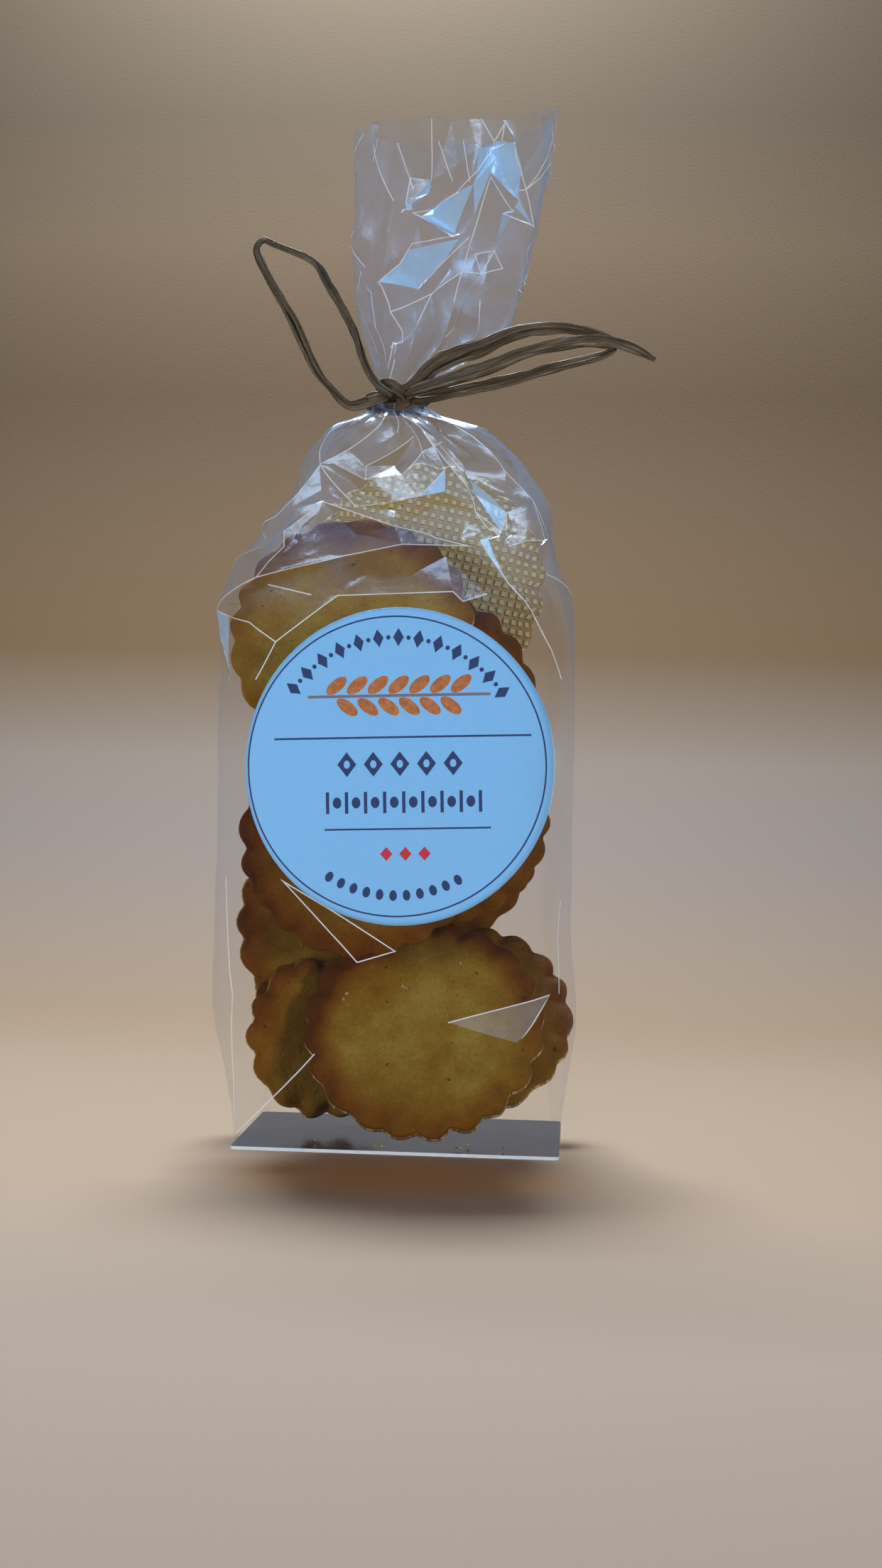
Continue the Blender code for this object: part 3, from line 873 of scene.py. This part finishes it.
# Label
# A disc of satin paper stuck on the front of the bag and bent round it. Its print is a thin ring, two
# rules, rows and arcs of plain shapes in dark blue, a brown sprig of grain and three red lozenges.
body_half_width = 45.0 * MM
body_half_depth = 28.5 * MM
body_middle = -3.0 * MM
body_squareness = 4.5
label_gap = 0.5 * MM
label_thickness = 0.3 * MM
label_rings = 24
label_spokes = 96
label_bend_share = 0.982
label_bend_shift = 0.7 * MM
row_half_height = 4.0


def front_of_body(x):
    """How far the bag's plain front stands out at x."""
    share = min(abs(x - body_middle) / body_half_width, 1.0)
    return body_half_depth * (1.0 - share ** body_squareness) ** (1.0 / body_squareness)


class Print:
    """The label's print, as masks over its own two coordinates in mm."""

    def __init__(self, finish, across, up):
        self.finish = finish
        self.across = across
        self.up = up

    def turned(self, angle):
        """The same print turned by an angle in degrees."""
        cosine, sine = math.cos(math.radians(angle)), math.sin(math.radians(angle))
        across = self.across * cosine + self.up * sine
        up = self.up * cosine - self.across * sine
        return Print(self.finish, across, up)

    def moved(self, across, up):
        return Print(self.finish, self.across - across, self.up - up)

    def repeated(self, pitch):
        """The same print repeated along its first coordinate."""
        return Print(self.finish, self.across.math("WRAP", pitch / 2.0, -pitch / 2.0), self.up)

    def polar(self):
        """The same print along a circle: its angle in degrees, then its radius."""
        angle = self.up.math("ARCTAN2", self.across) * math.degrees(1.0)
        radius = (self.across * self.across + self.up * self.up).math("SQRT")
        return Print(self.finish, angle, radius)

    def row(self, pitch, half_length, shape, half_across, half_up, shift=0.0):
        """A row of one shape, whose middle is shifted from the shapes' own."""
        shapes = shape(self.repeated(pitch), half_across, half_up)
        return shapes * self.moved(shift, 0.0).bar(half_length, row_half_height)

    def bar(self, half_across, half_up):
        return (self.across.math("ABSOLUTE") < half_across) * (self.up.math("ABSOLUTE") < half_up)

    def lozenge(self, half_across, half_up):
        return self.across.math("ABSOLUTE") / half_across + self.up.math("ABSOLUTE") / half_up < 1.0

    def dot(self, half_across, half_up):
        return (self.across / half_across) ** 2 + (self.up / half_up) ** 2 < 1.0


label_paper = Finish("label_paper")
label_place = label_paper.place()
label_x = label_paper.axis(label_place, 0)
label_z = label_paper.axis(label_place, 2)
blank = Print(label_paper, (label_x - label_middle.x) / MM, (label_z - label_middle.y) / MM)
label_normal = label_paper.node("NewGeometry", {}, {}, "Normal")
face_forwards = label_paper.axis(label_normal, 1) < -0.3
level = blank.turned(2.1)
circle = blank.polar()
ring = circle.moved(0.0, 36.0).bar(400.0, 0.20)
upper_rule = level.moved(1.6, 7.0).bar(31.0, 0.24)
lower_rule = level.moved(2.6, -15.0).bar(20.0, 0.22)
large_row = level.moved(1.0, 0.6).row(6.4, 16.0, Print.lozenge, 2.3, 3.0)
large_holes = level.moved(1.0, 0.6).repeated(6.4).dot(0.75, 0.95)
small_row = level.moved(1.8, -8.6).row(4.6, 20.7, Print.bar, 0.40, 2.6)
small_dots = level.moved(4.1, -8.6).row(4.6, 18.4, Print.dot, 1.05, 1.35, shift=-2.3)
top_arc = circle.moved(90.0, 31.0).row(9.0, 58.5, Print.lozenge, 2.4, 2.2)
top_dots = circle.moved(94.5, 31.0).row(9.0, 54.0, Print.dot, 0.95, 0.55, shift=-4.5)
foot_arc = circle.moved(-90.0, 31.0).row(6.0, 33.0, Print.dot, 1.7, 1.3)
ink = ring + upper_rule + lower_rule + large_row * (1.0 - large_holes) + small_row + small_dots
ink = ink + top_arc + top_dots + foot_arc

sprig = level.moved(1.0, 17.0)
grain_step = 5.0
upper_grains = sprig.repeated(grain_step).moved(0.0, 2.6).turned(38.0).dot(3.0, 1.45)
lower_grains = sprig.moved(2.5, 0.0).repeated(grain_step).moved(0.0, -2.6).turned(-38.0).dot(3.0, 1.45)
stalk = sprig.bar(22.0, 0.35)
grains = upper_grains * sprig.bar(17.5, 6.0) + lower_grains * sprig.bar(15.0, 6.0)
grain_shade = label_paper.noise(label_place, 900.0, 3.0)
grain_colour = label_paper.mix(grain_shade, rgba(140, 74, 44), rgba(222, 146, 92))
red_row = level.moved(2.0, -21.0).row(4.6, 6.9, Print.lozenge, 1.5, 1.7)

paper_shade = label_paper.noise(label_place, 500.0)
plain_paper = label_paper.mix(paper_shade, rgba(134, 198, 254), rgba(141, 204, 255))
printed = label_paper.mix(face_forwards, rgba(214, 226, 236), plain_paper)
for mask, colour in (
        (ink.math("MINIMUM", 1.0) * 0.94, rgba(40, 46, 98)),
        (grains.math("MINIMUM", 1.0), grain_colour),
        (stalk * 0.8, rgba(128, 84, 56)),
        (red_row, rgba(206, 62, 78))):
    printed = label_paper.mix(mask * face_forwards, printed, colour)
label_finish = label_paper.principled({
    "Base Color": printed, "Roughness": 0.42, "Specular IOR Level": 0.45,
    "Normal": label_paper.bump(label_paper.noise(label_place, 2500.0, 2.0), 0.00004, 0.4)})

bm = bmesh.new()
points = [bm.verts.new((label_radius * step / label_rings, 0.0, 0.0)) for step in range(label_rings + 1)]
spoke = [bm.edges.new(pair) for pair in zip(points, points[1:])]
bmesh.ops.spin(bm, geom=points + spoke, cent=(0, 0, 0), axis=(0, 0, 1), angle=math.tau,
               steps=label_spokes, use_merge=True)
bmesh.ops.remove_doubles(bm, verts=bm.verts, dist=merge_distance)
for vert in bm.verts:
    x = label_middle.x + label_bend_shift + vert.co.x * label_bend_share
    z = label_middle.y + vert.co.y
    reach = (vert.co.length / label_radius) ** 6
    wave = noise.noise(Vector((x * 60.0, 0.0, z * 60.0))) * 0.16 * MM
    wave += noise.noise(Vector((x * 130.0, 3.0, z * 130.0))) * 0.35 * MM * reach
    vert.co = Vector((x, -front_of_body(x) - label_gap - label_thickness - wave, z))
bmesh.ops.recalc_face_normals(bm, faces=bm.faces)
if sum(face.normal.y for face in bm.faces) > 0.0:
    bmesh.ops.reverse_faces(bm, faces=bm.faces)
bmesh.ops.solidify(bm, geom=list(bm.faces), thickness=label_thickness)
bmesh.ops.recalc_face_normals(bm, faces=bm.faces)
paper_disc = make_piece(bm, "paper_disc", label_finish)
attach(paper_disc, "root")
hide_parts("label")


# Raffia
# Dry palm leaf split into flat strips, which curl and twist along their grain. One length is wound twice
# round the neck and tied in a bow, with a loop to the left, a wide loop to the right and a loose end.
raffia = Finish("raffia_fibre")
strand = raffia.attribute("strand", "Vector")
strand_along = raffia.axis(strand, 0)
strand_across = raffia.axis(strand, 1)
strand_seed = raffia.axis(strand, 2)
fibre_place = raffia.node("CombineXYZ", {}, {0: strand_along * 90.0, 1: strand_across * 4.5, 2: strand_seed})
patch_place = raffia.node("CombineXYZ", {}, {0: strand_along * 70.0, 1: strand_across * 0.8, 2: strand_seed})
fibres = raffia.noise(fibre_place, 1.0, 6.0, 0.7)
patches = raffia.noise(patch_place, 1.0, 3.0)
raffia_tone = raffia.ramp(fibres * 0.7 + patches * 0.3, [
    (0.34, srgb(30, 22, 14)), (0.46, srgb(84, 70, 52)), (0.56, srgb(124, 110, 92)),
    (0.68, srgb(186, 178, 166))])
raffia_finish = raffia.principled({
    "Base Color": raffia_tone, "Roughness": 0.55, "Specular IOR Level": 0.35,
    "Normal": raffia.bump(fibres, 0.0006, 0.9)})
strip_facing = Vector((0.0, -1.0, 0.0))
strip_thickness = 0.22 * MM
strip_step = 0.7 * MM
strip_parts_across = 10


def smooth_route(points, step):
    """Places, tangents and shares along a smooth curve through the points, a step apart."""
    ends = [points[0] * 2 - points[1]] + points + [points[-1] * 2 - points[-2]]
    route = []
    for index in range(1, len(ends) - 2):
        before, start, end, after = ends[index - 1:index + 3]
        parts = max(2, round((end - start).length / step))
        for part in range(parts + (index == len(ends) - 3)):
            t = part / parts
            bend = start * 2 + (end - before) * t + (before * 2 - start * 5 + end * 4 - after) * t ** 2
            route.append(((bend + (start * 3 - before - end * 3 + after) * t ** 3) / 2, index - 1 + t))
    last = len(route) - 1
    tangents = [(route[min(i + 1, last)][0] - route[max(i - 1, 0)][0]).normalized() for i in range(last + 1)]
    return [(place, tangent, share) for (place, share), tangent in zip(route, tangents)]


def add_strip(bm, points, widths, seed, twist=0.5, curl=0.5, shift=(0.0, 0.0), share_of_width=1.0):
    """One flat strip along a route in mm, with half widths in mm, that curls and twists on its way."""
    strand_layer = bm.verts.layers.float_vector.get("strand") or bm.verts.layers.float_vector.new("strand")
    route = smooth_route([Vector(point) * MM for point in points], strip_step)
    grid = bmesh.ops.create_grid(bm, x_segments=len(route) - 1, y_segments=strip_parts_across,
                                 size=1.0)["verts"]
    travelled = [0.0]
    for (place, _, _), (next_place, _, _) in zip(route, route[1:]):
        travelled.append(travelled[-1] + (next_place - place).length)
    seeds = Vector((seed * 3.7, seed * 1.3, seed * 7.9))
    for vert in grid:
        index = round((vert.co.x + 1.0) / 2.0 * (len(route) - 1))
        side = vert.co.y
        place, tangent, share = route[index]
        far = travelled[index]
        across = tangent.cross(strip_facing).normalized()
        facing = across.cross(tangent).normalized()
        turn = Matrix.Rotation(twist * noise.noise(seeds + Vector((far * 55.0, 0, 0))) * 2.2, 4, tangent)
        across, facing = turn @ across, turn @ facing
        near = min(int(share), len(widths) - 2)
        width = (widths[near] + (widths[near + 1] - widths[near]) * (share - near)) * MM * share_of_width
        width *= 1.0 + 0.22 * noise.noise(seeds + Vector((far * 260.0, 2.0, 0)))
        cup = curl * noise.noise(seeds + Vector((far * 90.0, 5.0, 0))) * 2.0
        ridge = noise.noise(seeds + Vector((far * 60.0, side * 3.2, 9.0))) * 0.75 * width
        ridge += noise.noise(seeds + Vector((far * 60.0, side * 9.0, 3.0))) * 0.22 * width
        out = (side ** 2 - 0.4) * cup * width + ridge
        vert.co = place + across * (side * width + shift[0] * MM) - facing * (out * 0.55 + shift[1] * MM)
        vert[strand_layer] = (far, side, seed)


def make_strips(name, node_name, strips):
    """Turn strips into one piece of thin leaf that stands for one of the bow's solids."""
    bm = bmesh.new()
    for strip in strips:
        add_strip(bm, *strip)
    bmesh.ops.recalc_face_normals(bm, faces=bm.faces)
    bmesh.ops.solidify(bm, geom=list(bm.faces), thickness=strip_thickness)
    bmesh.ops.recalc_face_normals(bm, faces=bm.faces)
    piece = make_piece(bm, name, raffia_finish)
    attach(piece, "root")
    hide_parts(node_name)


left_loop = [
    (-7.0, -8.6, 187.0), (-8.5, -8.6, 186.6), (-12.0, -8.8, 185.3), (-16.7, -8.8, 184.5),
    (-21.2, -8.8, 188.8), (-25.3, -8.8, 193.9), (-31.2, -8.8, 205.7), (-36.2, -8.8, 214.0),
    (-39.8, -8.6, 220.5), (-41.0, -8.0, 224.0), (-39.4, -7.4, 226.4), (-36.2, -7.2, 225.2),
    (-26.6, -7.4, 221.0), (-22.5, -7.8, 215.0), (-15.7, -8.8, 203.2), (-12.8, -9.8, 195.0),
    (-9.8, -10.4, 190.0), (-7.4, -10.6, 188.2), (-5.6, -9.8, 187.4)]
left_widths = [1.1, 1.3, 1.4, 1.1, 1.0, 1.2, 1.3, 1.1, 1.0, 0.8, 0.8, 0.9, 0.8, 1.0, 1.1, 1.0, 0.8, 0.8, 0.9]
right_loop = [
    (-2.6, -9.8, 187.8), (0.2, -11.2, 189.0), (5.0, -11.6, 193.8), (11.0, -11.8, 196.6),
    (16.9, -12.0, 198.5), (25.9, -12.0, 202.3), (36.5, -11.8, 203.2), (44.0, -11.4, 202.0),
    (48.6, -10.8, 200.0), (48.2, -10.0, 198.2), (44.0, -9.8, 196.6), (33.2, -9.8, 193.7),
    (24.5, -9.8, 191.2), (15.6, -9.8, 189.1), (8.0, -9.6, 187.6), (2.8, -9.0, 186.8), (-0.6, -8.6, 186.8)]
right_widths = [1.1, 1.6, 2.2, 2.4, 2.2, 1.6, 1.1, 1.0, 0.9, 1.0, 1.1, 1.2, 1.3, 1.3, 1.4, 1.3, 1.1]
loose_end = [
    (-1.8, -10.4, 187.4), (1.0, -13.2, 188.0), (7.5, -13.6, 190.0), (18.1, -14.0, 193.2),
    (26.5, -13.8, 196.5), (34.5, -13.6, 198.9), (42.0, -13.2, 200.1), (49.3, -12.8, 199.8),
    (55.0, -12.4, 198.0), (59.5, -12.0, 195.7)]
end_widths = [1.0, 1.4, 1.6, 1.5, 1.3, 1.2, 1.3, 1.4, 1.1, 0.5]
make_strips("bow_left_loop", "raffia_left_loop", [
    (left_loop, left_widths, 1, 0.35, 0.8),
    (left_loop[2:], left_widths[2:], 2, 0.5, 0.4, (0.5, -0.7), 0.5)])
make_strips("bow_right_loop", "raffia_right_loop", [
    (right_loop, right_widths, 3, 0.25, 0.8),
    (right_loop, right_widths, 4, 0.4, 0.5, (-0.9, -0.8), 0.55)])
make_strips("bow_loose_end", "raffia_tail", [
    (loose_end, end_widths, 5, 0.35, 0.9),
    (loose_end[:8], end_widths[:8], 6, 0.5, 0.6, (1.1, 0.7), 0.5)])

neck_x = -5.5
turns_foot = 186.0
turns_half_width = 7.3
turns_half_depth = 6.4
points_per_turn = 12
neck_turns = []
for part in range(2 * points_per_turn + 1):
    angle = math.tau * part / points_per_turn
    across = neck_x + turns_half_width * math.cos(angle)
    neck_turns.append((across, turns_half_depth * math.sin(angle), turns_foot + part / points_per_turn))
crossing = [
    (-9.6, -6.6, 188.6), (-8.2, -8.2, 189.6), (-6.2, -9.4, 189.4), (-4.0, -10.2, 188.2),
    (-2.0, -10.0, 187.0), (-1.2, -8.8, 185.6), (-2.6, -7.8, 184.8), (-4.8, -7.6, 185.4)]
make_strips("neck_turns", "raffia_knot", [
    (neck_turns, [1.3] * len(neck_turns), 7, 0.15, 0.4),
    (crossing, [1.1, 1.6, 1.8, 1.7, 1.5, 1.3, 1.2, 1.0], 8, 0.2, 0.9)])
